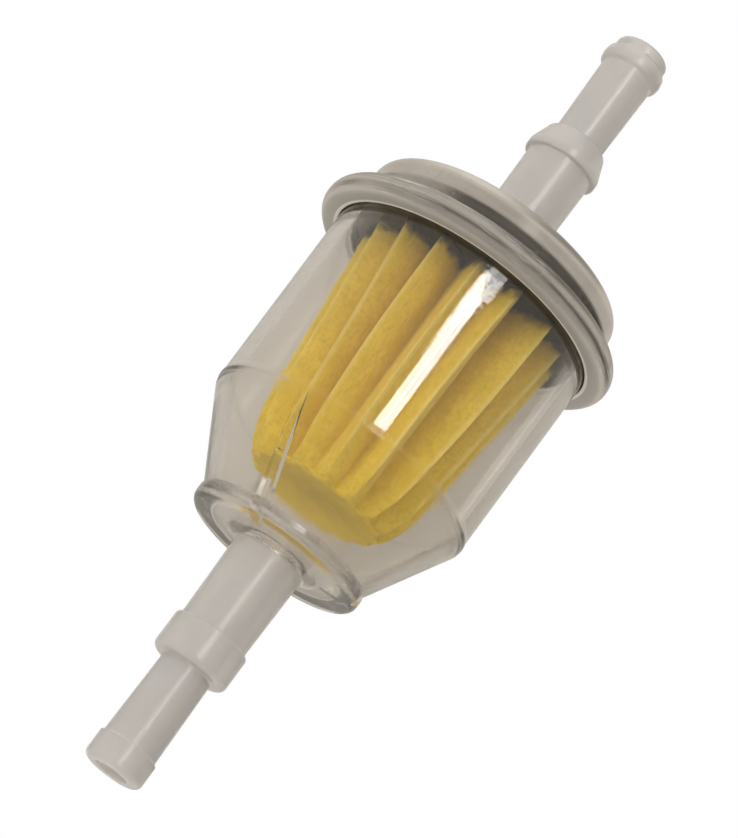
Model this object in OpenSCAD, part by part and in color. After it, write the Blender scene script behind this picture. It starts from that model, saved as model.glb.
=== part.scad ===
// Inline fuel filter: a clear bowl and a drawn steel cap crimped together around a pleated
// paper element, with a stepped hose nipple at each end. Fuel enters the nipple at -Z, passes
// through the paper from outside to inside, and leaves by the nipple at +Z.
// The origin is on the axis, midway between the two hose ends. Every outline below is drawn as
// radius against height, with height 0 at the underside of the crimped rim.

/* [Overall lengths] */
// From the tip of the inlet nipple to the bowl's boss
inlet_reach = 27.85; // [26:0.05:32]
// From the bowl's boss to the underside of the rim
bowl_h = 35.6; // [35.6:0.1:42]
// From the underside of the rim to the top of the cap
cap_h = 9.0; // [8.6:0.1:9.4]
// From the top of the cap to the tip of the outlet nipple
outlet_reach = 28.05; // [27:0.05:32]

/* [Cap] */
// Outer diameter of the crimped rim
rim_d = 37.2; // [37:0.1:40]
// Height of the crimped rim
rim_h = 2.8; // [2.6:0.1:3.2]
// Outer diameter of the drawn cup above the rim
cup_d = 31.2; // [31:0.1:31.8]
// Corner radius between the cup's wall and its domed top
cup_corner_r = 2.3; // [1.5:0.1:2.6]
// Radius of curvature of the domed top
cup_dome_r = 78.5; // [60:0.5:120]
// Thickness of the cap's sheet steel
cap_t = 0.5; // [0.4:0.05:0.6]
// Diameter of the hole for the outlet nipple
cap_hole_d = 7.9; // [7.8:0.05:8.4]

/* [Bowl] */
// Outer diameter of the bowl at its mouth
bowl_mouth_d = 31.9; // [31.6:0.1:32.2]
// Outer diameter of the bowl's wall just above the shoulder
bowl_low_d = 31.4; // [31:0.1:31.8]
// Wall thickness of the bowl
bowl_wall = 1.45; // [1.2:0.05:1.6]
// Outer diameter of the bowl's flange, held inside the crimp
flange_d = 34.8; // [34:0.1:35.2]
// Thickness of the bowl's flange
flange_t = 1.0; // [0.8:0.1:1.2]
// Depth of the shoulder below the rim
shoulder_drop = 22.8; // [20:0.1:24]
// Outer diameter of the foot bead
foot_d = 20.8; // [20:0.1:22]
// Corner radius of the foot bead
foot_r = 1.2; // [0.8:0.1:1.4]
// Height of the foot bead's centre above the boss
foot_rise = 1.85; // [1.6:0.05:2.2]
// Number of gusset ribs inside the cone
rib_count = 3; // [2:1:6]
// Thickness of a gusset rib
rib_t = 1.0; // [0.6:0.1:1.4]
// Radius at which a rib's free edge meets the floor
rib_foot_r = 6.0; // [5:0.1:7.5]

/* [Hose nipples] */
// Bore of both nipples
bore_d = 3.8; // [3:0.1:4.4]
// Diameter of the inlet's thick section at the bowl
inlet_root_d = 8.34; // [8:0.02:8.6]
// Diameter of the thick section next to its barb, at both ends
thick_d = 7.94; // [7.6:0.02:8.2]
// Length of the inlet's thick section
inlet_thick_l = 10.2; // [9:0.1:12]
// Length of the outlet's thick section above the cap
outlet_thick_l = 10.7; // [9:0.1:12]
// Diameter of the outlet's thick section at the cap
outlet_root_d = 7.7; // [7.4:0.02:7.8]
// Diameter of the thin section next to the thick one, at both ends
thin_near_d = 5.96; // [5.6:0.02:6.1]
// Diameter of the thin section next to the end barb, at both ends
thin_far_d = 6.34; // [6.1:0.02:6.4]
// Diameter of the inlet's thick barb
inlet_collar_d = 8.9; // [8.6:0.02:9.2]
// Length of the inlet's thick barb
inlet_collar_l = 4.3; // [3.6:0.1:5]
// Diameter of the outlet's thick barb
outlet_collar_d = 9.0; // [8.6:0.02:9.2]
// Length of the outlet's thick barb
outlet_collar_l = 3.6; // [3.2:0.1:4.6]
// Diameter of the inlet's end barb
inlet_tip_d = 6.9; // [6.7:0.02:7.2]
// Length of the inlet's end barb
inlet_tip_l = 3.1; // [2.6:0.1:3.6]
// Diameter of the outlet's end bead
outlet_bead_d = 7.36; // [7:0.02:7.6]
// Distance of the outlet's end bead from the tip
outlet_bead_back = 2.5; // [2.2:0.1:3]

/* [Seals and element] */
// Section diameter of the sealing ring under the cap
seal_section_d = 1.2; // [1:0.1:1.4]
// Diameter of the sealing ring's centre line
seal_ring_d = 10.4; // [10:0.1:12]
// Thickness of the retaining plate's edge
plate_t = 0.4; // [0.3:0.05:0.5]
// Diameter of the retaining plate's outlet hole
plate_hole_d = 9.2; // [8:0.1:10]
// Thickness of the potting that the pleats stand in
potting_t = 0.65; // [0.4:0.05:1]
// Number of pleats
pleat_count = 16; // [12:1:24]
// Diameter over the pleat tips at the open end
pleat_top_d = 26.2; // [24:0.1:27]
// Diameter over the pleat roots at the open end
pleat_root_d = 16.4; // [14:0.1:18]
// Length of the pleated paper
pleat_l = 27.85; // [24:0.05:29]
// Loss of tip radius per millimetre towards the closed end
pleat_taper = 0.111; // [0.05:0.001:0.15]
// Further loss of tip radius where the closed end rounds off
pleat_round = 1.5; // [0:0.1:1.8]
// Angle of the first pleat tip about the axis
pleat_phase = -91.5; // [-180:0.5:180]
// Thickness of the paper disc on the closed end
end_disc_t = 0.5; // [0.4:0.1:1]

/* [Hidden] */
$fn = 96;

// Height of the rim's underside in the part's own frame
rim_z = (inlet_reach + bowl_h - cap_h - outlet_reach) / 2;

// Radii used by more than one module
bore_r = bore_d / 2;
rim_r = rim_d / 2;
flange_r = flange_d / 2;
lip_r = bowl_mouth_d / 2 + 0.15;
bowl_in_r = bowl_mouth_d / 2 - bowl_wall;
spigot_r = 3.2;

// Heights of the stack held inside the crimp, from the lip upwards
flange_z = cap_t;
plate_z = flange_z + flange_t;
gasket_z = plate_z + plate_t;
web_z = rim_h - cap_t;

// Cap top, sealing ring and the outlet nipple's base flange
dome_z = cap_h + pow(outlet_root_d / 2, 2) / (2 * cup_dome_r);
seal_z = dome_height(seal_ring_d / 2) - cap_t - seal_section_d / 2;
base_top_z = seal_z - seal_section_d / 2;
base_t = 1.5;
base_r = 7.5;

// Bowl: the cone runs from the shoulder to a small ledge above the foot bead
shoulder_r = bowl_low_d / 2 + 0.22;
foot_z = -bowl_h + foot_rise;
ledge_z = foot_z + 0.45;
ledge_r = foot_d / 2 - 0.42;
cone_slope = (shoulder_r - ledge_r) / (-shoulder_drop - ledge_z);
cone_offset = bowl_wall * sqrt(1 + cone_slope * cone_slope);
floor_z = -bowl_h + 1.7;

// Paper: radial thickness of the folded sheet, and where the open end stands
paper_top = plate_z - potting_t;
paper_low = paper_top - pleat_l;
paper_radial_t = 1.3;
paper_levels = 10;

// Small corner radii of the nipples
corner_small = 0.45;
corner_large = 1.4;
corner_tip = 1.1;

// Points along an arc about centre c, from angle a0 to a1
function arc(c, r, a0, a1, n = 8) = [
    for (i = [0:n])
        let (a = a0 + (a1 - a0) * i / n)
            [c[0] + r * cos(a), c[1] + r * sin(a)]
];

// Height of the cap's outer surface at radius r
function dome_height(r) = dome_z - r * r / (2 * cup_dome_r);

// Outer radius of the bowl's cone at height z
function cone_r(z) = shoulder_r + cone_slope * (z + shoulder_drop);

// Turns an outline of [radius, height] points about the axis, at the rim's height
module turned(outline) {
    translate([0, 0, rim_z])
        rotate_extrude()
            polygon(outline);
}

module bowl_shell() {
    outside = concat(
        [
            [flange_r, plate_z],
            [flange_r, flange_z],
            [bowl_mouth_d / 2, flange_z],
            [bowl_low_d / 2, -shoulder_drop + 1.4],
            [bowl_low_d / 2 + 0.08, -shoulder_drop + 0.9]
        ],
        arc([shoulder_r - 0.5, -shoulder_drop + 0.2], 0.5, 30, -30, 4),
        [[ledge_r, ledge_z]],
        arc([foot_d / 2 - foot_r, foot_z], foot_r, 20, -80, 8),
        [
            [inlet_root_d / 2 + 1.3, -bowl_h + 0.55],
            [inlet_root_d / 2 + 0.25, -bowl_h],
            [spigot_r, -bowl_h]
        ]
    );
    inside = concat(
        [
            [spigot_r, floor_z],
            [cone_r(floor_z + 0.6) - cone_offset - 0.7, floor_z + 0.1]
        ],
        arc([cone_r(floor_z + 1.1) - cone_offset - 0.8, floor_z + 0.95], 0.8, -75, -29, 4),
        [
            [bowl_low_d / 2 - bowl_wall, -shoulder_drop + 0.45],
            [bowl_low_d / 2 - bowl_wall + 0.05, -shoulder_drop + 1.4],
            [bowl_in_r, plate_z]
        ]
    );
    turned(concat(outside, inside));
}

// One gusset: it fills the corner between the cone and a straight free edge
module rib() {
    top_z = -shoulder_drop + 0.6;
    foot = floor_z - 0.5;
    translate([0, rib_t / 2, rim_z])
        rotate([90, 0, 0])
            linear_extrude(rib_t)
                polygon([
                    [bowl_low_d / 2 - bowl_wall, top_z],
                    [rib_foot_r, floor_z],
                    [rib_foot_r, foot],
                    [cone_r(foot) - cone_offset, foot],
                    [cone_r(-shoulder_drop) - 0.8, -shoulder_drop],
                    [cone_r(-shoulder_drop) - 0.8, top_z]
                ]);
}

module bowl() {
    color([0.80, 0.77, 0.72, 0.35]) {
        union() {
            bowl_shell();
            for (i = [0:rib_count - 1])
                rotate([0, 0, i * 360 / rib_count])
                    rib();
        }
    }
}

module inlet_nipple() {
    root_z = -bowl_h;
    collar_z = root_z - inlet_thick_l;
    thin_z = collar_z - inlet_collar_l;
    tip_z = root_z - inlet_reach;
    barb_z = tip_z + inlet_tip_l;
    collar_r = inlet_collar_d / 2;
    barb_r = inlet_tip_d / 2;
    outline = concat(
        [
            [bore_r, floor_z + 0.6],
            [spigot_r, floor_z + 0.6],
            [spigot_r, root_z],
            [inlet_root_d / 2, root_z],
            [thick_d / 2, collar_z]
        ],
        arc([collar_r - corner_small, collar_z - corner_small], corner_small, 90, 0, 5),
        arc([collar_r - corner_large, thin_z + corner_large], corner_large, 0, -88, 8),
        [
            [thin_near_d / 2, thin_z],
            [thin_far_d / 2, barb_z]
        ],
        arc([barb_r - 0.25, barb_z - 0.25], 0.25, 90, 0, 4),
        arc([barb_r - corner_tip, tip_z + corner_tip], corner_tip, 0, -88, 8),
        [[bore_r, tip_z]]
    );
    color([0.78, 0.76, 0.72, 0.8])
        turned(outline);
}

// Folded sheet: lip under the bowl's flange, round rim, web, cup wall, corner and dome
module cap() {
    wall_r = cup_d / 2;
    rim_half = rim_h / 2;
    rim_c = [rim_r - rim_half, rim_half];
    corner_c = [wall_r - cup_corner_r, dome_height(wall_r - cup_corner_r) - cup_corner_r - 0.02];
    groove_r = 0.6;
    hole_r = cap_hole_d / 2;
    dome_steps = 6;
    dome_edge = corner_c[0] + cup_corner_r * cos(80);
    dome_r = [for (i = [1:dome_steps]) dome_edge + (hole_r - dome_edge) * i / dome_steps];
    outside = concat(
        [[lip_r, 0]],
        arc(rim_c, rim_half, -90, 90, 16),
        arc([wall_r + groove_r, rim_h + groove_r], groove_r, 270, 180, 6),
        arc(corner_c, cup_corner_r, 0, 80, 10),
        [for (r = dome_r) [r, dome_height(r)]]
    );
    inside = concat(
        [for (i = [dome_steps - 1:-1:0]) [dome_r[i], dome_height(dome_r[i]) - cap_t]],
        arc(corner_c, cup_corner_r - cap_t, 80, 0, 8),
        [
            [wall_r - cap_t, web_z],
            [rim_c[0], web_z]
        ],
        arc(rim_c, rim_half - cap_t, 75, -75, 10),
        [
            [rim_c[0], cap_t],
            [lip_r, cap_t]
        ]
    );
    color([0.72, 0.70, 0.67])
        turned(concat(outside, inside));
}

module outlet_nipple() {
    root_z = cap_h;
    collar_z = root_z + outlet_thick_l;
    thin_z = collar_z + outlet_collar_l;
    tip_z = root_z + outlet_reach;
    bead_z = tip_z - outlet_bead_back;
    collar_r = outlet_collar_d / 2;
    bead_section_r = 1.3;
    bead_half_angle = 47;
    lip_end_r = 3.2;
    outline = concat(
        [
            [bore_r, base_top_z - base_t],
            [base_r, base_top_z - base_t],
            [base_r, base_top_z],
            [outlet_root_d / 2, base_top_z],
            [outlet_root_d / 2, root_z],
            [thick_d / 2, collar_z]
        ],
        arc([collar_r - 0.4, collar_z + 0.4], 0.4, -90, 0, 5),
        [
            [collar_r, collar_z + 1.0],
            [collar_r - 0.9, thin_z - 0.45]
        ],
        arc([collar_r - 1.3, thin_z - 0.5], 0.45, 10, 80, 4),
        [[thin_near_d / 2, thin_z]],
        arc([outlet_bead_d / 2 - bead_section_r, bead_z], bead_section_r,
            -bead_half_angle, bead_half_angle, 8),
        arc([lip_end_r - 0.6, tip_z - 0.6], 0.6, 0, 90, 5),
        [[bore_r, tip_z]]
    );
    color([0.78, 0.76, 0.72, 0.8])
        turned(outline);
}

module nipple_seal() {
    color([0.12, 0.12, 0.12])
        translate([0, 0, rim_z + seal_z])
            rotate_extrude()
                translate([seal_ring_d / 2, 0])
                    circle(d = seal_section_d);
}

// Flat ring of revolution between two radii and two heights
module ring(r_in, r_out, z_low, z_high) {
    turned([
        [r_in, z_low],
        [r_out, z_low],
        [r_out, z_high],
        [r_in, z_high]
    ]);
}

module rim_gasket() {
    color([0.15, 0.15, 0.14])
        ring(cup_d / 2 - cap_t, flange_r - 0.1, gasket_z, web_z);
}

// Flat steel ring with a drawn collar that presses the nipple's base flange on its seal
module element_plate() {
    hole_r = plate_hole_d / 2;
    collar_top = base_top_z - base_t;
    color([0.22, 0.20, 0.18])
        turned([
            [hole_r, plate_z],
            [flange_r - 0.1, plate_z],
            [flange_r - 0.1, gasket_z],
            [hole_r + plate_t, gasket_z],
            [hole_r + plate_t, collar_top],
            [hole_r, collar_top]
        ]);
}

module potting_ring() {
    color([0.20, 0.18, 0.12])
        ring(pleat_root_d / 2 - 2.2, bowl_in_r - 0.15, paper_top, plate_z);
}

// Tip and root radius of the folds at a share f of the way to the closed end
function tip_r(f) = pleat_top_d / 2 - pleat_taper * pleat_l * f - pleat_round * pow(f, 12);
function root_r(f) = pleat_root_d / 2 - 0.9 * f;

// Radius of the folded sheet's outer face: tips and roots take turns around the axis
function fold_r(f, step) = step % 2 == 0 ? tip_r(f) : root_r(f);

module pleated_paper() {
    count = pleat_count * 2;
    rings = [
        for (side = [0, paper_radial_t])
            for (level = [0:paper_levels])
                let (f = level / paper_levels)
                    [
                        for (step = [0:count - 1])
                            let (a = pleat_phase + 360 * step / count)
                            let (r = fold_r(f, step) - side)
                                [r * cos(a), r * sin(a), paper_top - pleat_l * f]
                    ]
    ];
    points = [for (one = rings) each one];
    inner = (paper_levels + 1) * count;
    last = paper_levels * count;
    skin = [
        for (level = [0:paper_levels - 1])
            for (step = [0:count - 1])
                let (a = level * count + step)
                let (b = level * count + (step + 1) % count)
                    each [
                        [a, b, b + count],
                        [a, b + count, a + count],
                        [inner + b, inner + a, inner + a + count],
                        [inner + b, inner + a + count, inner + b + count]
                    ]
    ];
    ends = [
        for (step = [0:count - 1])
            let (next = (step + 1) % count)
                each [
                    [next, step, inner + step],
                    [next, inner + step, inner + next],
                    [last + step, last + next, inner + last + next],
                    [last + step, inner + last + next, inner + last + step]
                ]
    ];
    color([0.83, 0.70, 0.28])
        translate([0, 0, rim_z])
            polyhedron(points = points, faces = concat(skin, ends), convexity = 8);
}

module end_adhesive() {
    plug_r = root_r(1) - paper_radial_t - 0.1;
    color([0.66, 0.58, 0.34])
        ring(0, plug_r, paper_low, paper_low + 0.8);
}

module element_end_disc() {
    disc_r = tip_r(1);
    color([0.70, 0.60, 0.28])
        turned(concat(
            [
                [0, paper_low],
                [0, paper_low - end_disc_t]
            ],
            arc([disc_r - end_disc_t, paper_low], end_disc_t, -90, 0, 5)
        ));
}

bowl();
inlet_nipple();
cap();
outlet_nipple();
nipple_seal();
rim_gasket();
element_plate();
potting_ring();
pleated_paper();
end_adhesive();
element_end_disc();
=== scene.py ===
"""Looks of the inline fuel filter: clear bowl, plated cap, milky hose nipples and pleated paper."""

import math

import bmesh
import bpy
from mathutils import Matrix, Vector


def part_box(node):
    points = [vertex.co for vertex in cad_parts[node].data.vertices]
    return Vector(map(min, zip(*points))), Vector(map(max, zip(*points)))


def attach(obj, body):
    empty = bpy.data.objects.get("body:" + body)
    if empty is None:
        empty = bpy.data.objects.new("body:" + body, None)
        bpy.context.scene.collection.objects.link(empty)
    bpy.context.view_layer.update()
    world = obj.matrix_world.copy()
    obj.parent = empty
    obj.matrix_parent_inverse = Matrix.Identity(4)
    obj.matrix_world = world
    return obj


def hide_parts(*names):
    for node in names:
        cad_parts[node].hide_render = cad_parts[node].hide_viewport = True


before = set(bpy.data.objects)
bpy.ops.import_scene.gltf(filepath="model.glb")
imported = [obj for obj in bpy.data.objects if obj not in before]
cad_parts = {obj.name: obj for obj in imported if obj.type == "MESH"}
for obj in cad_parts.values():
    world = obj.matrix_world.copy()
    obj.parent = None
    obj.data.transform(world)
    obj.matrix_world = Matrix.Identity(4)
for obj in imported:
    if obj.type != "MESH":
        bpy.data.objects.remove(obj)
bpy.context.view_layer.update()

MM = 0.001

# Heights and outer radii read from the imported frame, in millimetres
CAP_LOW, CAP_HIGH = (corner.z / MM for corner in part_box("cap"))
BOWL_LOW, BOWL_HIGH = (corner.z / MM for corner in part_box("bowl"))
INLET_TIP, INLET_TOP = (corner.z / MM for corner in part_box("inlet_nipple"))
OUTLET_LOW, OUTLET_TIP = (corner.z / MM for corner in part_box("outlet_nipple"))
PAPER_LOW, PAPER_HIGH = (corner.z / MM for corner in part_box("pleated_paper"))
DISC_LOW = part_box("element_end_disc")[0].z / MM
RIM_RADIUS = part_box("cap")[1].x / MM
FLANGE_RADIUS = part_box("bowl")[1].x / MM
DISC_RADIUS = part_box("element_end_disc")[1].x / MM

# The cap, in millimetres
SHEET = 0.5
RIM_HEIGHT = 2.8
RIM_TOP = CAP_LOW + RIM_HEIGHT
CUP_RADIUS = 15.6
DOME_CURVE = 78.5

# The hose nipples, in millimetres
BORE = 1.9
SPIGOT = 3.2
OUTLET_STEM = 3.85
COLLAR_FOOT = 3.97
HOSE_STEM = 2.98

# The bowl, in millimetres, with a cone between its foot's ledge and its shoulder
WALL = 1.45
BOWL_TOP_RADIUS = 15.95
BOWL_LOW_RADIUS = 15.7
SHOULDER = CAP_LOW - 22.8
SHOULDER_RADIUS = 15.92
FOOT_RADIUS = 10.4
LEDGE = BOWL_LOW + 2.3
LEDGE_RADIUS = FOOT_RADIUS - 0.42
CONE_SLOPE = (SHOULDER_RADIUS - LEDGE_RADIUS) / (SHOULDER - LEDGE)
CONE_INSET = WALL * math.sqrt(1 + CONE_SLOPE * CONE_SLOPE)
FLOOR = BOWL_LOW + 1.7
RIBS = 3
RIB_THICK = 1.0

# The pleated paper, in millimetres, whose tips taper by a share of the height
PLEATS = 16
PLEAT_PHASE = math.radians(-91.5)
TIP_RADIUS = 13.1
TIP_TAPER = 0.111
ROOT_RADIUS = 8.2
PAPER_THICK = 0.42

# How finely turned pieces are cut, and the lengths below which points are merged, in metres
SEGMENTS = 160
SAME_PLACE = 1e-7
NO_LENGTH = 1e-8

# Colours of the lamps
DAYLIGHT = (1.0, 0.98, 0.95)
FILL_LIGHT = (1.0, 0.98, 0.96)
BOX_LIGHT = (1.0, 0.97, 0.93)


# ---------------------------------------------------------------- mesh helpers

def fillet(corners, steps):
    """A closed outline with each (radius, height, rounding) corner rounded by its own radius."""
    most_of_side = 0.48
    outline = []
    for i, (radius, height, rounding) in enumerate(corners):
        if rounding <= 0:
            outline.append((radius, height))
            continue
        corner = Vector((radius, height))
        before = Vector(corners[i - 1][:2]) - corner
        after = Vector(corners[(i + 1) % len(corners)][:2]) - corner
        half = before.angle(after) / 2
        longest = most_of_side * min(before.length, after.length)
        reach = min(rounding / math.tan(half), longest)
        size = reach * math.tan(half)
        middle = (before.normalized() + after.normalized()).normalized()
        centre = corner + middle * (size / math.sin(half))
        start = corner + before.normalized() * reach - centre
        end = corner + after.normalized() * reach - centre
        sweep = start.angle_signed(end)
        for k in range(steps + 1):
            arm = start.copy()
            arm.rotate(Matrix.Rotation(-sweep * k / steps, 2))
            outline.append(tuple(centre + arm))
    return outline


def supported(outline):
    """Adds a point close to each end of every long straight span, so smooth shading stays true."""
    near = 0.12
    long_span = 5 * near
    out = []
    for i, point in enumerate(outline):
        start, end = Vector(point), Vector(outline[(i + 1) % len(outline)])
        out.append(point)
        length = (end - start).length
        if length > long_span:
            out.append(tuple(start.lerp(end, near / length)))
            out.append(tuple(start.lerp(end, 1 - near / length)))
    return out


def turned(name, corners, steps):
    """A piece turned about the axis from a closed outline of rounded corners."""
    shell = bmesh.new()
    rings = []
    for radius, height in supported(fillet(corners, steps)):
        ring = []
        for s in range(SEGMENTS):
            angle = 2 * math.pi * s / SEGMENTS
            across, deep = radius * math.cos(angle), radius * math.sin(angle)
            ring.append(shell.verts.new((across * MM, deep * MM, height * MM)))
        rings.append(ring)
    for i, ring in enumerate(rings):
        after = rings[(i + 1) % len(rings)]
        for s in range(SEGMENTS):
            t = (s + 1) % SEGMENTS
            shell.faces.new((ring[s], ring[t], after[t], after[s]))
    bmesh.ops.remove_doubles(shell, verts=shell.verts, dist=SAME_PLACE)
    bmesh.ops.dissolve_degenerate(shell, dist=NO_LENGTH, edges=shell.edges)
    bmesh.ops.recalc_face_normals(shell, faces=shell.faces)
    return mesh_object(name, shell)


def mesh_object(name, shell):
    """A smooth-shaded object from a built mesh, which is used up."""
    for face in shell.faces:
        face.smooth = True
    mesh = bpy.data.meshes.new(name)
    shell.to_mesh(mesh)
    shell.free()
    obj = bpy.data.objects.new(name, mesh)
    bpy.context.scene.collection.objects.link(obj)
    return obj


def smooth_by_angle(obj, degrees):
    """Marks edges sharper than the angle, so flat sides and rounds both shade true."""
    shell = bmesh.new()
    shell.from_mesh(obj.data)
    limit = math.radians(degrees)
    for edge in shell.edges:
        edge.smooth = len(edge.link_faces) == 2 and edge.calc_face_angle(0) < limit
    for face in shell.faces:
        face.smooth = True
    shell.to_mesh(obj.data)
    shell.free()


def baked(obj):
    """Turns an object's live modifiers into its plain mesh."""
    depsgraph = bpy.context.evaluated_depsgraph_get()
    mesh = bpy.data.meshes.new_from_object(obj.evaluated_get(depsgraph))
    obj.modifiers.clear()
    obj.data = mesh
    return obj


def finish_piece(obj, material, slot, *nodes):
    """Gives a piece its material and its body, and hides the CAD nodes that it stands for."""
    obj.data.materials.clear()
    obj.data.materials.append(material)
    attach(obj, "root")
    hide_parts(*nodes)
    return obj


# ---------------------------------------------------------------- node helpers

class Graph:
    """Short calls for making and joining the nodes of one tree."""

    def __init__(self, tree):
        self.tree = tree

    def node(self, kind, inputs=(), **settings):
        """A new node, with its settings made first and then its named inputs fed."""
        made = self.tree.nodes.new(kind)
        for name, value in settings.items():
            setattr(made, name, value)
        for name, item in dict(inputs).items():
            self.feed(made.inputs[name], item)
        return made

    def feed(self, socket, item):
        """Links another node's socket, or sets a plain value. A plain colour is opaque."""
        if isinstance(item, bpy.types.NodeSocket):
            self.tree.links.new(item, socket)
        elif socket.type == "RGBA":
            socket.default_value = (*item, 1.0)
        else:
            socket.default_value = item

    def math(self, operation, a, b=0.0, c=0.0):
        made = self.node("ShaderNodeMath", operation=operation)
        for socket, item in zip(made.inputs, (a, b, c)):
            self.feed(socket, item)
        return made.outputs[0]

    def add(self, a, b):
        return self.math("ADD", a, b)

    def minus(self, a, b):
        return self.math("SUBTRACT", a, b)

    def times(self, a, b):
        return self.math("MULTIPLY", a, b)

    def times_add(self, a, b, c):
        """a times b, plus c."""
        return self.math("MULTIPLY_ADD", a, b, c)

    def coordinate(self, place, axis):
        """One coordinate of a place, in millimetres."""
        split = self.node("ShaderNodeSeparateXYZ", {"Vector": place})
        return self.math("DIVIDE", split.outputs[axis], MM)

    def radius(self, place):
        """Distance of a place from the filter's axis, in millimetres."""
        squares = [self.math("POWER", self.coordinate(place, axis), 2.0) for axis in "XY"]
        return self.math("SQRT", self.add(*squares))

    def noise(self, vector, scale, detail, roughness=0.55, distortion=0.0):
        made = self.node("ShaderNodeTexNoise", {
            "Vector": vector, "Scale": scale, "Detail": detail,
            "Roughness": roughness, "Distortion": distortion})
        return made.outputs["Fac"]

    def stretched(self, vector, scale):
        """A place scaled by its own amount along each axis."""
        made = self.node("ShaderNodeMapping", {"Vector": vector, "Scale": scale})
        return made.outputs["Vector"]

    def spread(self, value, low, high, to_low=0.0, to_high=1.0):
        """A smooth step from to_low, at low, to to_high, at high, and level beyond both."""
        made = self.node("ShaderNodeMapRange", interpolation_type="SMOOTHSTEP", inputs={
            "Value": value, "From Min": low, "From Max": high,
            "To Min": to_low, "To Max": to_high})
        return made.outputs["Result"]

    def mixed(self, share, first, second):
        """The first colour with a share of the second."""
        made = self.node("ShaderNodeMix", data_type="RGBA", inputs={
            "Factor": share, "A": first, "B": second})
        return made.outputs["Result"]

    def bump(self, height, strength, distance, normal=None):
        """A normal tilted by a height, on top of another normal where one is given."""
        made = self.node("ShaderNodeBump", {"Height": height, "Strength": strength, "Distance": distance})
        if normal is not None:
            self.feed(made.inputs["Normal"], normal)
        return made.outputs["Normal"]

    def principled(self, inputs):
        return self.node("ShaderNodeBsdfPrincipled", inputs).outputs["BSDF"]

    def surface(self, shader):
        """Sends a shader to the material's output."""
        self.feed(self.node("ShaderNodeOutputMaterial").inputs["Surface"], shader)


def new_tree(name, kind, inputs, outputs):
    """An empty tree with named sockets, the graph to fill it, and its own inputs and outputs."""
    tree = bpy.data.node_groups.new(name, kind)
    for direction, sockets in (("INPUT", inputs), ("OUTPUT", outputs)):
        for label, socket_kind in sockets.items():
            tree.interface.new_socket(label, in_out=direction, socket_type=f"NodeSocket{socket_kind}")
    net = Graph(tree)
    return tree, net, net.node("NodeGroupInput").outputs, net.node("NodeGroupOutput").inputs


def new_material(name):
    """An empty material, the graph to fill it, and the place of each point on the object."""
    material = bpy.data.materials.new(name)
    material.use_nodes = True
    material.node_tree.nodes.clear()
    net = Graph(material.node_tree)
    return material, net, net.node("ShaderNodeTexCoord").outputs["Object"]


# ------------------------------------------------- effects shared by materials

def moulded_skin_group():
    """Moulded plastic: a faint orange-peel swell, fine grain and uneven gloss."""
    tree, net, given, out = new_tree(
        "moulded_skin", "ShaderNodeTree",
        {"Vector": "Vector", "Least Rough": "Float", "Most Rough": "Float",
         "Swell": "Float", "Grain": "Float"},
        {"Roughness": "Float", "Normal": "Vector"})
    cloud = net.noise(given["Vector"], 260.0, 3.0)
    swell = net.noise(given["Vector"], 620.0, 2.0)
    grain = net.noise(given["Vector"], 5200.0, 2.0)
    span = net.minus(given["Most Rough"], given["Least Rough"])
    net.feed(out["Roughness"], net.times_add(net.spread(cloud, 0.3, 0.7), span, given["Least Rough"]))
    swollen = net.bump(swell, given["Swell"], 0.3 * MM)
    net.feed(out["Normal"], net.bump(grain, given["Grain"], 0.04 * MM, swollen))
    return tree


def hairline_group():
    """Sparse hairline scratches in two directions, as a mask."""
    tree, net, given, out = new_tree(
        "hairlines", "ShaderNodeTree", {"Vector": "Vector", "Amount": "Float"}, {"Mask": "Float"})
    marks = []
    for turn, stretch in ((0.5, (6000.0, 6000.0, 420.0)), (1.9, (420.0, 6000.0, 6000.0))):
        spun = net.node("ShaderNodeMapping", {
            "Vector": given["Vector"], "Rotation": (turn, turn * 0.6, turn), "Scale": stretch})
        line = net.noise(spun.outputs["Vector"], 1.0, 1.0, 0.4, 0.4)
        marks.append(net.spread(line, 0.66, 0.72))
    both = net.math("MAXIMUM", *marks)
    patch = net.spread(net.noise(given["Vector"], 130.0, 2.0), 0.45, 0.62)
    net.feed(out["Mask"], net.times(net.times(both, patch), given["Amount"]))
    return tree


MOULDED = moulded_skin_group()
HAIRLINES = hairline_group()


def moulded_skin(net, place, least_rough, most_rough, swell, grain):
    """The roughness and normal of a moulded skin."""
    skin = net.node("ShaderNodeGroup", node_tree=MOULDED, inputs={
        "Vector": place, "Least Rough": least_rough, "Most Rough": most_rough,
        "Swell": swell, "Grain": grain})
    return skin.outputs["Roughness"], skin.outputs["Normal"]


def hairlines(net, place, amount):
    """A mask of scratches, up to the given amount."""
    marks = net.node("ShaderNodeGroup", node_tree=HAIRLINES, inputs={"Vector": place, "Amount": amount})
    return marks.outputs["Mask"]


# ------------------------------------------------------------------- materials

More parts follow.
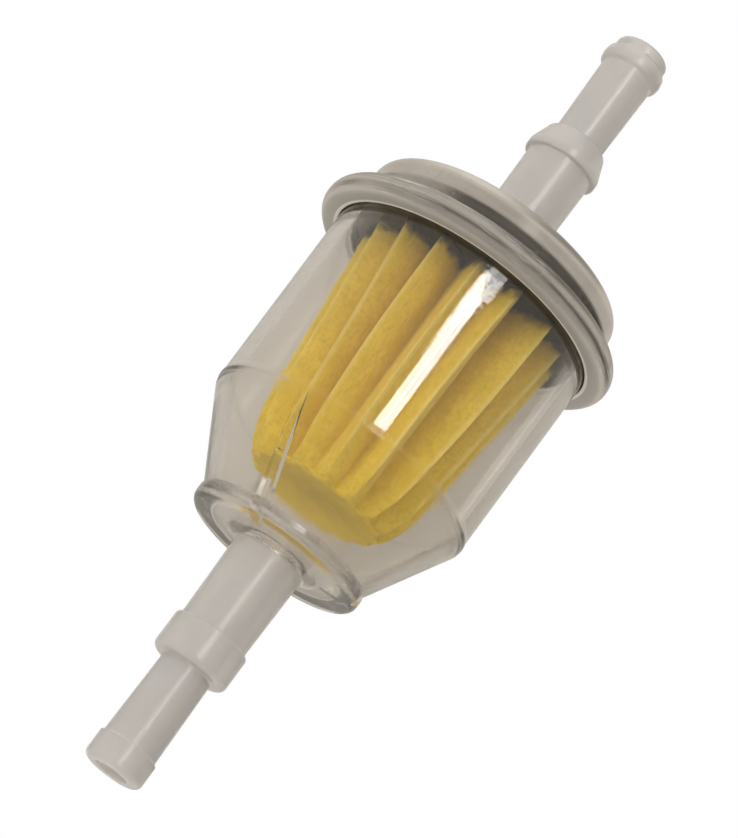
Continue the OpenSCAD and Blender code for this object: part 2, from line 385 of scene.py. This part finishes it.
def clear_plastic():
    """The bowl: clear and glossy with a slight warm tint. Lamps reach the paper through it."""
    material, net, place = new_material("clear_bowl_plastic")
    rough, normal = moulded_skin(net, place, 0.02, 0.06, 0.03, 0.01)
    rough = net.add(rough, net.times(hairlines(net, place, 0.35), 0.3))
    # The foot and the shoulder are duller than the walls
    height = net.coordinate(place, "Z")
    foot = BOWL_LOW + 2.2
    rough = net.add(rough, net.spread(height, foot + 3.0, foot, to_high=0.15))
    from_shoulder = net.math("ABSOLUTE", net.minus(height, SHOULDER + 0.2))
    rough = net.add(rough, net.spread(from_shoulder, 1.1, 0.4, to_high=0.14))
    haze = net.spread(net.noise(place, 150.0, 3.0), 0.3, 0.8)
    glassy = net.principled({
        "Base Color": net.mixed(haze, (0.97, 0.955, 0.93), (0.94, 0.925, 0.90)),
        "Roughness": rough, "Normal": normal, "Transmission Weight": 0.99, "IOR": 1.49})
    open_to_light = net.node("ShaderNodeBsdfTransparent", {"Color": (0.97, 0.96, 0.94)})
    rays = net.node("ShaderNodeLightPath")
    mix = net.node("ShaderNodeMixShader", {
        0: rays.outputs["Is Shadow Ray"], 1: glassy, 2: open_to_light.outputs["BSDF"]})
    net.surface(mix.outputs[0])
    return material


def milky_plastic():
    """The nipples: milky moulded plastic, softly see-through, with a satin skin."""
    material, net, place = new_material("milky_nipple_plastic")
    rough, normal = moulded_skin(net, place, 0.31, 0.40, 0.05, 0.03)
    cloud = net.spread(net.noise(place, 240.0, 4.0), 0.3, 0.75)
    net.surface(net.principled({
        "Base Color": net.mixed(cloud, (0.96, 0.935, 0.925), (0.92, 0.895, 0.885)),
        "Roughness": rough, "Normal": normal, "IOR": 1.5, "Transmission Weight": 0.6,
        "Subsurface Weight": 0.6, "Subsurface Radius": (1.0, 0.9, 0.8), "Subsurface Scale": 3.0 * MM,
        "Coat Weight": 0.7, "Coat Roughness": 0.2}))
    return material


def rub_marks(net, place, height, radius):
    """Fine marks that run round the piece in patches, as a mask."""
    marks_per_mm = 6.2
    ring = net.node("ShaderNodeCombineXYZ", {
        "X": net.times(radius, marks_per_mm), "Y": net.times(height, marks_per_mm),
        "Z": net.times_add(net.coordinate(place, "Y"), 0.12, net.times(net.coordinate(place, "X"), 0.33))})
    marks = net.spread(net.noise(ring.outputs[0], 1.0, 2.0), 0.53, 0.66)
    return net.times(marks, net.spread(net.noise(place, 105.0, 2.0), 0.46, 0.60))


def plated_steel():
    """The cap: drawn and plated sheet, satin, with handling scratches and a rubbed rim."""
    material, net, place = new_material("plated_cap_steel")
    scratches = hairlines(net, place, 1.0)
    draw_lines = net.noise(net.stretched(place, (180.0, 180.0, 2600.0)), 1.0, 3.0)
    tarnish = net.spread(net.noise(place, 210.0, 5.0, 0.6), 0.35, 0.7)
    height = net.coordinate(place, "Z")
    radius = net.radius(place)

    # The rim's upper band is darkened as painted shade, its underside is dull and darkened as painted
    # shade, and its lip against the bowl is paled as a painted highlight
    rim = net.spread(height, RIM_TOP + 0.1, RIM_TOP - 0.2)
    shaded_crest = net.times(net.spread(height, RIM_TOP - 1.5, RIM_TOP - 0.6), rim)
    under = net.spread(height, CAP_LOW + 0.35, CAP_LOW + 0.05)
    dull_shaded_under = net.times(under, net.spread(radius, RIM_RADIUS - 0.2, RIM_RADIUS - 0.9))
    lip = net.times(under, net.spread(radius, BOWL_TOP_RADIUS + 0.65, BOWL_TOP_RADIUS + 0.45))
    rubbed = net.times(rub_marks(net, place, height, radius), rim)
    colour = net.mixed(tarnish, (0.74, 0.705, 0.66), (0.67, 0.635, 0.59))
    # Painted shade: the rim's upper band darkened
    colour = net.mixed(net.times(shaded_crest, 0.60), colour, (0.20, 0.195, 0.185))
    colour = net.mixed(net.times(rubbed, 0.75), colour, (0.98, 0.97, 0.95))
    # Dull underside, its darker colour painted shade
    colour = net.mixed(dull_shaded_under, colour, (0.44, 0.425, 0.40))
    # Painted highlight: the lip against the bowl paled
    colour = net.mixed(lip, colour, (0.80, 0.785, 0.75))

    rough = net.spread(draw_lines, 0.25, 0.75, 0.285, 0.32)
    rough = net.add(rough, net.times(scratches, 0.2))
    rough = net.times_add(rim, 0.06, rough)
    rough = net.times_add(dull_shaded_under, 0.2, rough)
    normal = net.bump(draw_lines, 0.08, 0.1 * MM)
    normal = net.bump(rubbed, 0.5, 0.03 * MM, normal)
    normal = net.bump(scratches, 0.5, -0.03 * MM, normal)
    net.surface(net.principled({
        "Base Color": colour, "Roughness": rough, "Normal": normal,
        "Metallic": net.times_add(dull_shaded_under, -0.85, 1.0)}))
    return material


def folded_paper_colour(net, place, colour):
    """Painted highlight on the creased tips, painted shade in the valleys, and dark adhesive drawn up at
    the open end.
    """
    height = net.coordinate(place, "Z")
    drop = net.minus(PAPER_HIGH, height)
    tip = net.times_add(drop, -TIP_TAPER, TIP_RADIUS)
    depth = net.minus(tip, net.radius(place))
    # Painted highlight: paler towards the pleat tips
    colour = net.mixed(net.spread(depth, 0.7, 0.25, to_high=0.5), colour, (0.95, 0.80, 0.28))
    # Painted shade: darker down in the valleys between the pleats
    colour = net.mixed(net.spread(depth, 1.8, 4.2, to_high=0.42), colour, (0.40, 0.25, 0.02))
    ragged = net.times_add(net.noise(place, 700.0, 3.0), 2.0, height)
    soaked = net.spread(ragged, PAPER_HIGH - 0.7, PAPER_HIGH + 0.7)
    return net.mixed(soaked, colour, (0.05, 0.042, 0.015))


def filter_paper(name, folded):
    """Yellow filter paper: matted fibres and mottled dye."""
    material, net, place = new_material(name)
    mottle = net.spread(net.noise(place, 420.0, 5.0, 0.65), 0.3, 0.72)
    long_fibres = net.noise(net.stretched(place, (3800.0, 3800.0, 900.0)), 1.0, 4.0, 0.6, 1.2)
    cross_fibres = net.noise(net.stretched(place, (1100.0, 3200.0, 3600.0)), 1.0, 4.0, 0.6, 1.2)
    fibres = net.times(long_fibres, cross_fibres)
    colour = net.mixed(mottle, (0.85, 0.61, 0.035), (0.93, 0.69, 0.07))
    colour = net.mixed(net.spread(fibres, 0.18, 0.36, to_high=0.55), colour, (0.62, 0.43, 0.035))
    # Folded paper also gets a painted highlight on its tips and painted shade in its valleys
    if folded:
        colour = folded_paper_colour(net, place, colour)
    coarse = net.bump(net.noise(place, 1500.0, 3.0), 0.25, 0.12 * MM)
    net.surface(net.principled({
        "Base Color": colour, "Roughness": net.spread(fibres, 0.1, 0.4, 0.95, 0.75),
        "Normal": net.bump(fibres, 0.55, 0.06 * MM, coarse),
        "Specular IOR Level": 0.2, "Sheen Weight": 0.15, "Sheen Roughness": 0.6}))
    return material


def mottled_material(name, light, dark, least_rough, most_rough, scale, metallic=0.0):
    """Rubber, potting, glue and painted plate: mottled, with uneven gloss."""
    material, net, place = new_material(name)
    rough, normal = moulded_skin(net, place, least_rough, most_rough, 0.4, 0.3)
    cloud = net.spread(net.noise(place, scale, 4.0), 0.3, 0.7)
    net.surface(net.principled({
        "Base Color": net.mixed(cloud, dark, light),
        "Roughness": rough, "Normal": normal, "Metallic": metallic}))
    return material


# -------------------------------------------------------------- geometry nodes

def run_tree(obj, tree, values):
    """Runs a geometry tree on an object with its inputs set by name, and keeps the plain mesh."""
    modifier = obj.modifiers.new(tree.name, "NODES")
    modifier.node_group = tree
    for item in tree.interface.items_tree:
        if item.in_out == "INPUT" and item.name in values:
            modifier[item.identifier] = values[item.name]
    return baked(obj)


def end_tree(net, geometry, material, out):
    """Ends a geometry tree in real geometry with its material."""
    real = net.node("GeometryNodeRealizeInstances", {"Geometry": geometry})
    painted = net.node("GeometryNodeSetMaterial", {"Geometry": real.outputs[0], "Material": material})
    net.feed(out["Geometry"], painted.outputs[0])


def pleat_tree():
    """Folds a sheet into pleats between a root and a tip radius, down from the top. In metres."""
    tree, net, given, out = new_tree("pleats", "GeometryNodeTree", {
        "Geometry": "Geometry", "Pleats": "Int", "Phase": "Float", "Top": "Float", "Length": "Float",
        "Tip Radius": "Float", "Root Radius": "Float", "Taper": "Float", "Root Taper": "Float",
        "End Rounding": "Float", "Unevenness": "Float", "Material": "Material"},
        {"Geometry": "Geometry"})
    cells_per_pleat = 24
    cells_down = 90
    grid = net.node("GeometryNodeMeshGrid", {
        "Size X": 1.0, "Size Y": 1.0,
        "Vertices X": PLEATS * cells_per_pleat + 1, "Vertices Y": cells_down + 1})
    place = net.node("GeometryNodeInputPosition").outputs[0]
    split = net.node("ShaderNodeSeparateXYZ", {"Vector": place}).outputs
    turn = net.add(split["X"], 0.5)
    fall = net.minus(0.5, split["Y"])

    # Random numbers of each pleat's own
    count = net.times(turn, given["Pleats"])
    index = net.math("FLOORED_MODULO", net.math("ROUND", count), given["Pleats"])
    seed = net.node("ShaderNodeCombineXYZ", {"X": net.times(index, 3.7), "Y": 5.3, "Z": 1.1})
    own = net.node("ShaderNodeTexWhiteNoise", noise_dimensions="3D", inputs={"Vector": seed.outputs[0]})
    more = net.node("FunctionNodeSeparateColor", {"Color": own.outputs["Color"]}).outputs
    leaning = net.minus(own.outputs["Value"], 0.5)
    twisting = net.minus(more["Blue"], 0.5)
    shorter = more["Green"]

    # A zigzag with rounded tips and roots, near 1 on a tip and near 0 in a root
    saw = net.math("ABSOLUTE", net.minus(net.math("FRACT", net.add(count, 0.5)), 0.5))
    rise = net.minus(1.0, net.times(saw, 2.0))
    rise = net.math("SMOOTH_MIN", rise, 0.97, 0.07)
    rise = net.math("SMOOTH_MAX", rise, 0.05, 0.10)

    # Both radii taper, and the tips are drawn in at the closed end
    tip = net.minus(given["Tip Radius"], net.times(given["Taper"], fall))
    tip = net.minus(tip, net.times(given["End Rounding"], net.math("POWER", fall, 12.0)))
    tip = net.minus(tip, net.times(shorter, given["Unevenness"]))
    root = net.minus(given["Root Radius"], net.times(given["Root Taper"], fall))
    radius = net.times_add(net.minus(tip, root), rise, root)

    # Each fold leans, bows most in mid length, and twists more the further down it is, in radians
    lean, bow, twist = 0.05, 0.10, 0.14
    middle = net.math("SINE", net.times(fall, math.pi))
    wander = net.times(leaning, net.times_add(middle, bow, lean))
    wander = net.add(wander, net.times(twisting, net.times(fall, twist)))
    angle = net.times_add(turn, 2 * math.pi, net.add(given["Phase"], net.times(wander, rise)))
    moved = net.node("ShaderNodeCombineXYZ", {
        "X": net.times(radius, net.math("COSINE", angle)),
        "Y": net.times(radius, net.math("SINE", angle)),
        "Z": net.minus(given["Top"], net.times(given["Length"], fall))})
    shaped = net.node("GeometryNodeSetPosition", {
        "Geometry": grid.outputs["Mesh"], "Position": moved.outputs[0]})
    joined = net.node("GeometryNodeMergeByDistance", {"Geometry": shaped.outputs[0], "Distance": 1e-6})
    end_tree(net, joined.outputs[0], given["Material"], out)
    return tree


def rib_tree():
    """Sets equal ribs around the axis and joins them to the shell as one solid."""
    tree, net, given, out = new_tree(
        "ribs", "GeometryNodeTree",
        {"Geometry": "Geometry", "Rib": "Object", "Ribs": "Int", "Material": "Material"},
        {"Geometry": "Geometry"})
    rib = net.node("GeometryNodeObjectInfo", {"Object": given["Rib"]})
    points = net.node("GeometryNodePoints", {"Count": given["Ribs"]})
    index = net.node("GeometryNodeInputIndex").outputs[0]
    step = net.math("DIVIDE", 2 * math.pi, given["Ribs"])
    turn = net.node("ShaderNodeCombineXYZ", {"Z": net.times(index, step)})
    placed = net.node("GeometryNodeInstanceOnPoints", {
        "Points": points.outputs[0], "Instance": rib.outputs["Geometry"], "Rotation": turn.outputs[0]})
    real = net.node("GeometryNodeRealizeInstances", {"Geometry": placed.outputs[0]})
    union = net.node("GeometryNodeMeshBoolean", operation="UNION", solver="EXACT")
    net.feed(union.inputs["Mesh 2"], real.outputs[0])
    net.feed(union.inputs["Mesh 2"], given["Geometry"])
    end_tree(net, union.outputs["Mesh"], given["Material"], out)
    return tree


# ------------------------------------------------------------------ the pieces

def dome(radius):
    """Height of the cap's domed top at a radius, from its edge around the outlet's stem."""
    return CAP_HIGH + (OUTLET_STEM ** 2 - radius ** 2) / (2 * DOME_CURVE)


def make_cap():
    """A domed cup of thin sheet above a rolled rim, drawn in a little just above the rim."""
    roll = RIM_HEIGHT / 2
    outer_roll = roll * 0.99
    inner_roll = roll - SHEET
    lip = BOWL_TOP_RADIUS + 0.15
    waist = CUP_RADIUS - 0.42
    full = RIM_TOP + 1.9
    crown = dome(CUP_RADIUS) - 0.12
    brow, shoulder = 6.5, 10.0
    hole = OUTLET_STEM + 0.1
    corners = [
        (lip, CAP_LOW, 0.12),
        (RIM_RADIUS, CAP_LOW, outer_roll),
        (RIM_RADIUS, RIM_TOP, outer_roll),
        (waist, RIM_TOP, 0.35),
        (CUP_RADIUS, full, 2.5),
        (CUP_RADIUS, crown, 2.3),
        (shoulder, dome(shoulder), 8.0),
        (brow, dome(brow), 3.0),
        (hole, CAP_HIGH, 0.15),
        (hole, CAP_HIGH - SHEET, 0.1),
        (brow, dome(brow) - SHEET, 3.0),
        (shoulder, dome(shoulder) - SHEET, 8.0),
        (CUP_RADIUS - SHEET, crown - SHEET, 1.8),
        (CUP_RADIUS - SHEET, full, 2.0),
        (waist - SHEET, RIM_TOP - SHEET, 0.2),
        (RIM_RADIUS - SHEET, RIM_TOP - SHEET, inner_roll),
        (RIM_RADIUS - SHEET, CAP_LOW + SHEET, inner_roll),
        (lip, CAP_LOW + SHEET, 0.12),
    ]
    return finish_piece(turned("cap_shell", corners, 9), plated_steel(), "plated_steel", "cap")


def cone(height):
    """Outer radius of the bowl's cone, between the foot's ledge and the shoulder."""
    return SHOULDER_RADIUS + CONE_SLOPE * (height - SHOULDER)


def make_bowl():
    """The clear bowl: a flange, straight walls, a cone and a foot, with gussets inside."""
    material = clear_plastic()
    under_flange = CAP_LOW + SHEET
    above, below = SHOULDER + 0.95, SHOULDER - 0.35
    recess = BOWL_LOW + 0.56
    floor_edge = FLOOR + 0.9
    corners = [
        (FLANGE_RADIUS, BOWL_HIGH, 0.15),
        (FLANGE_RADIUS, under_flange, 0.15),
        (BOWL_TOP_RADIUS + 0.04, under_flange, 0.25),
        (BOWL_LOW_RADIUS + 0.06, above, 0.8),
        (SHOULDER_RADIUS - 0.05, SHOULDER + 0.30, 0.45),
        (cone(below) - 0.03, below, 0.6),
        (LEDGE_RADIUS + 0.06, LEDGE, 0.12),
        (FOOT_RADIUS + 0.02, LEDGE - 0.05, 0.18),
        (FOOT_RADIUS, recess + 0.02, 1.1),
        (8.6, recess, 1.2),
        (5.5, recess, 1.2),
        (4.45, BOWL_LOW, 0.1),
        (SPIGOT, BOWL_LOW, 0.05),
        (SPIGOT, FLOOR, 0.1),
        (7.9, FLOOR + 0.1, 0.7),
        (cone(floor_edge) - CONE_INSET, floor_edge, 0.7),
        (BOWL_LOW_RADIUS - WALL, SHOULDER + 0.45, 0.8),
        (BOWL_TOP_RADIUS - WALL, BOWL_HIGH, 0.2),
    ]
    bowl = turned("clear_bowl", corners, 5)
    rib = rib_blank()
    run_tree(bowl, rib_tree(), {"Rib": rib, "Ribs": RIBS, "Material": material})
    bpy.data.objects.remove(rib)
    smooth_by_angle(bowl, 28)
    return finish_piece(bowl, material, "clear_plastic", "bowl")


def rib_blank():
    """One gusset, a thin plate in the corner between the cone and a straight free edge."""
    top = SHOULDER + 0.6
    inner = 6.0
    sunk = FLOOR - 0.5
    in_wall = SHOULDER_RADIUS - 0.8
    outline = [
        (BOWL_LOW_RADIUS - WALL, top),
        (inner, FLOOR),
        (inner, sunk),
        (cone(sunk) - CONE_INSET, sunk),
        (in_wall, SHOULDER),
        (in_wall, top),
    ]
    plate = bmesh.new()
    sides = []
    for y in (-RIB_THICK / 2, RIB_THICK / 2):
        sides.append([plate.verts.new((radius * MM, y * MM, height * MM)) for radius, height in outline])
    near, far = sides
    plate.faces.new(near)
    plate.faces.new(list(reversed(far)))
    for i in range(len(outline)):
        j = (i + 1) % len(outline)
        plate.faces.new((near[j], near[i], far[i], far[j]))
    bmesh.ops.recalc_face_normals(plate, faces=plate.faces)
    return mesh_object("rib_blank", plate)


def make_inlet(material):
    """The inlet nipple: a stem with a collar, and a barbed end for the hose."""
    under_bowl = BOWL_LOW - 0.01
    collar = BOWL_LOW - 10.2
    collar_radius = 4.45
    thin = collar - 4.3
    barb = INLET_TIP + 3.1
    barb_radius = 3.45
    corners = [
        (BORE, INLET_TOP, 0.1),
        (SPIGOT, INLET_TOP, 0.15),
        (SPIGOT, under_bowl, 0.05),
        (4.17, under_bowl, 0.1),
        (COLLAR_FOOT, collar, 0.15),
        (collar_radius, collar, 0.45),
        (collar_radius, thin, 1.4),
        (HOSE_STEM, thin, 0.25),
        (3.17, barb, 0.2),
        (barb_radius, barb, 0.25),
        (barb_radius, INLET_TIP, 1.1),
        (BORE, INLET_TIP, 0.2),
    ]
    piece = turned("inlet_hose_nipple", corners, 8)
    return finish_piece(piece, material, "milky_plastic", "inlet_nipple")


def make_outlet(material):
    """The outlet nipple: a flange under the cap, a stem with a collar, and a beaded end."""
    flange_radius, flange_top = 7.5, OUTLET_LOW + 1.5
    collar = CAP_HIGH + 10.7
    collar_radius = 4.5
    thin = collar + 3.6
    bead = OUTLET_TIP - 2.5
    neck = 3.2
    corners = [
        (BORE, OUTLET_LOW, 0.1),
        (flange_radius, OUTLET_LOW, 0.2),
        (flange_radius, flange_top, 0.2),
        (OUTLET_STEM, flange_top, 0.2),
        (OUTLET_STEM, CAP_HIGH, 0.5),
        (COLLAR_FOOT, collar, 0.15),
        (collar_radius, collar, 0.4),
        (collar_radius, collar + 1.0, 0.6),
        (3.6, thin, 0.5),
        (HOSE_STEM, thin + 0.02, 0.2),
        (3.19, bead - 1.05, 0.3),
        (3.62, bead - 0.75, 0.5),
        (3.74, bead, 1.0),
        (3.60, bead + 0.8, 0.5),
        (neck, bead + 1.1, 0.25),
        (neck, OUTLET_TIP, 0.6),
        (BORE, OUTLET_TIP, 0.2),
    ]
    piece = turned("outlet_hose_nipple", corners, 8)
    return finish_piece(piece, material, "milky_plastic", "outlet_nipple")


def make_paper():
    """The pleated element, folded by its tree and then given the paper's thickness."""
    material = filter_paper("pleated_filter_paper", folded=True)
    paper = bpy.data.objects.new("pleated_element", bpy.data.meshes.new("pleated_element"))
    bpy.context.scene.collection.objects.link(paper)
    length = PAPER_HIGH - PAPER_LOW
    run_tree(paper, pleat_tree(), {
        "Pleats": PLEATS, "Phase": PLEAT_PHASE, "Top": PAPER_HIGH * MM, "Length": length * MM,
        "Tip Radius": TIP_RADIUS * MM, "Root Radius": ROOT_RADIUS * MM,
        "Taper": TIP_TAPER * length * MM, "Root Taper": 0.9 * MM,
        "End Rounding": 1.5 * MM, "Unevenness": 0.25 * MM, "Material": material})
    wall = paper.modifiers.new("thickness", "SOLIDIFY")
    wall.thickness = PAPER_THICK * MM
    wall.offset = -1.0
    baked(paper)
    smooth_by_angle(paper, 70)
    return finish_piece(paper, material, "filter_paper", "pleated_paper")


def make_end_disc():
    """The element's closed end: a shallow disc, scalloped to follow the pleats."""
    corners = [
        (0.0, DISC_LOW + 0.15, 0.0),
        (DISC_RADIUS * 0.6, DISC_LOW + 0.05, 2.0),
        (DISC_RADIUS * 0.92, DISC_LOW, 1.2),
        (DISC_RADIUS * 0.985, PAPER_LOW, 0.0),
        (0.0, PAPER_LOW, 0.0),
    ]
    disc = turned("element_closed_end", corners, 6)
    scallop = 0.040
    for vertex in disc.data.vertices:
        around = math.atan2(vertex.co.y, vertex.co.x) - PLEAT_PHASE
        pull = 1 - scallop * (1 - math.cos(PLEATS * around))
        vertex.co.x *= pull
        vertex.co.y *= pull
    material = filter_paper("closed_end_paper", folded=False)
    return finish_piece(disc, material, "filter_paper", "element_end_disc")


def paint_nodes():
    """CAD nodes whose shapes are right get their finishes in their own slots."""
    rubber = mottled_material("seal_rubber", (0.035, 0.035, 0.035), (0.02, 0.02, 0.02), 0.45, 0.7, 500.0)
    plate = mottled_material("dark_plate", (0.42, 0.40, 0.37), (0.30, 0.285, 0.26), 0.35, 0.5, 300.0, 0.8)
    potting = mottled_material("cast_potting", (0.055, 0.045, 0.025), (0.03, 0.025, 0.014), 0.4, 0.6, 450.0)
    glue = mottled_material("end_glue", (0.55, 0.45, 0.22), (0.45, 0.36, 0.16), 0.4, 0.6, 400.0)
    finishes = {
        "nipple_seal": rubber, "rim_gasket": rubber, "element_plate": plate,
        "potting_ring": potting, "end_adhesive": glue}
    for name, material in finishes.items():
        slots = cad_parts[name].data.materials
        slots.clear()
        slots.append(material)


# -------------------------------------------------------------- room and lamps

def make_floor():
    """A pale floor well below the filter, left out of its reflections."""
    height = -0.45
    half_side = 25.0
    sheet = bmesh.new()
    bmesh.ops.create_grid(sheet, x_segments=8, y_segments=8, size=half_side)
    floor = mesh_object("floor", sheet)
    floor.location.z = height
    material, net, place = new_material("pale_floor")
    cloud = net.spread(net.noise(place, 6.0, 4.0), 0.3, 0.7)
    net.surface(net.principled({
        "Base Color": net.mixed(cloud, (0.86, 0.855, 0.84), (0.83, 0.825, 0.81)), "Roughness": 0.8}))
    floor.data.materials.append(material)
    floor.visible_glossy = False
    floor.visible_transmission = False


def make_room():
    """White to the camera, a room in reflections, and a plain warm backdrop through the bowl."""
    world = bpy.data.worlds.new("studio")
    world.use_nodes = True
    world.node_tree.nodes.clear()
    net = Graph(world.node_tree)
    direction = net.node("ShaderNodeTexCoord").outputs["Generated"]
    axis = net.node("ShaderNodeSeparateXYZ", {"Vector": direction}).outputs

    # Warm pale walls, with a dim band at eye level in front
    pale = net.math("MAXIMUM", net.spread(axis["Z"], 0.22, 0.36), net.spread(axis["Y"], -0.1, 0.7))
    walls = net.mixed(pale, (0.40, 0.375, 0.34), (0.68, 0.64, 0.58))
    dim = net.times(net.spread(axis["Z"], -0.22, -0.12), net.spread(axis["Z"], 0.32, 0.24))
    dim = net.times(dim, net.spread(axis["Y"], 0.85, 0.60))
    dim = net.times(dim, net.spread(axis["X"], -0.93, -0.78))

    # Overhead, a bright panel on one side shades off to a dimmer ceiling on the other
    ceiling = net.mixed(net.spread(axis["X"], -0.35, 0.30), (0.92, 0.88, 0.82), (0.30, 0.28, 0.26))
    room = net.mixed(net.spread(axis["Z"], 0.66, 0.86), walls, ceiling)
    room = net.mixed(dim, room, (0.02, 0.018, 0.016))

    rays = net.node("ShaderNodeLightPath").outputs
    backdrop = net.mixed(net.spread(axis["X"], -0.15, 0.15), (0.56, 0.515, 0.455), (0.41, 0.365, 0.305))
    through = net.mixed(rays["Is Transmission Ray"], room, backdrop)
    seen = net.mixed(rays["Is Camera Ray"], through, (1.0, 1.0, 1.0))
    back = net.node("ShaderNodeBackground", {"Color": seen, "Strength": 1.0})
    net.feed(net.node("ShaderNodeOutputWorld").inputs["Surface"], back.outputs[0])
    bpy.context.scene.world = world


def soft_lamp(name, place, size, power, colour, target=(0.0, 0.0, 0.0), only=()):
    """A rectangular lamp facing a point, which may light a few pieces only."""
    data = bpy.data.lights.new(name, "AREA")
    data.shape = "RECTANGLE"
    data.size, data.size_y = size
    data.energy = power
    data.color = colour
    lamp = bpy.data.objects.new(name, data)
    lamp.location = place
    facing = Vector(target) - lamp.location
    lamp.rotation_euler = facing.to_track_quat("-Z", "Y").to_euler()
    if only:
        lamp.light_linking.receiver_collection = bpy.data.collections.new(name + "_pieces")
        for piece in only:
            lamp.light_linking.receiver_collection.objects.link(piece)
    bpy.context.scene.collection.objects.link(lamp)
    return lamp


def light_bowl(bowl):
    """A window as strips side by side, its head slanted above them, and a strip behind."""
    aim = (0.0, -0.016, 0.0)
    away = -0.50
    for i, power in enumerate((0.085, 0.125, 0.105)):
        place = (0.034 + 0.034 * i, away, 0.143)
        soft_lamp(f"window_strip_{i}", place, (0.030, 0.086), power, DAYLIGHT, aim, [bowl])
    for i, power in enumerate((0.042, 0.055)):
        place = (0.082, away, 0.187 + 0.013 * i)
        head = soft_lamp(f"window_head_{i}", place, (0.17, 0.009), power, DAYLIGHT, aim, [bowl])
        head.rotation_euler.rotate_axis("Z", 0.12)
    soft_lamp("side_strip", (0.45, 0.27, 0.17), (0.10, 0.30), 0.06, DAYLIGHT, only=[bowl])


def light_nipples(nipples):
    """A sheen along the nipples that adds nothing to their own colour."""
    sheen = soft_lamp("nipple_sheen", (0.07, -0.50, 0.18), (0.12, 0.32), 0.48, DAYLIGHT, only=nipples)
    sheen.visible_diffuse = False


def light_all():
    """Broad lamps that light every piece but are in no reflection."""
    rows = [
        ("top_box", (-0.10, -0.10, 0.75), (0.7, 0.7), 1.6, BOX_LIGHT),
        ("left_fill", (-0.42, -0.42, 0.06), (0.4, 0.4), 1.65, FILL_LIGHT),
        ("right_fill", (0.44, -0.40, 0.04), (0.4, 0.4), 0.65, FILL_LIGHT),
        ("under_box", (0.0, 0.10, -0.38), (0.5, 0.3), 0.55, BOX_LIGHT),
    ]
    for row in rows:
        lamp = soft_lamp(*row)
        lamp.visible_glossy = False
        lamp.visible_transmission = False


def make_camera():
    """Looks up at the bowl's end, with the filter leaning across the frame."""
    tilt = math.radians(18.136)
    roll = math.radians(36.6)
    distance = 0.32897
    aim = Vector((-0.00031, 0.0, -0.00345))
    across = Vector((1.0, 0.0, 0.0))
    along = Vector((0.0, -math.sin(tilt), math.cos(tilt)))
    back = Vector((0.0, -math.cos(tilt), -math.sin(tilt)))
    right = across * math.cos(roll) + along * math.sin(roll)
    up = along * math.cos(roll) - across * math.sin(roll)
    data = bpy.data.cameras.new("camera")
    data.lens = 132.97
    data.sensor_width = 36.0
    data.clip_start = 0.01
    camera = bpy.data.objects.new("camera", data)
    turn = Matrix((right, up, back)).transposed()
    camera.matrix_world = Matrix.Translation(aim + back * distance) @ turn.to_4x4()
    bpy.context.scene.collection.objects.link(camera)
    bpy.context.scene.camera = camera


make_camera()
cap = make_cap()
bowl = make_bowl()
milky = milky_plastic()
nipples = [make_inlet(milky), make_outlet(milky)]
make_paper()
make_end_disc()

make_floor()
make_room()
light_bowl(bowl)
light_nipples(nipples)
light_all()
soft_lamp("cap_streak", (0.088, -0.50, 0.24), (0.03, 0.14), 0.014, DAYLIGHT, only=[cap])
paint_nodes()

scene = bpy.context.scene
scene.view_settings.view_transform = "Standard"
scene.view_settings.look = "None"
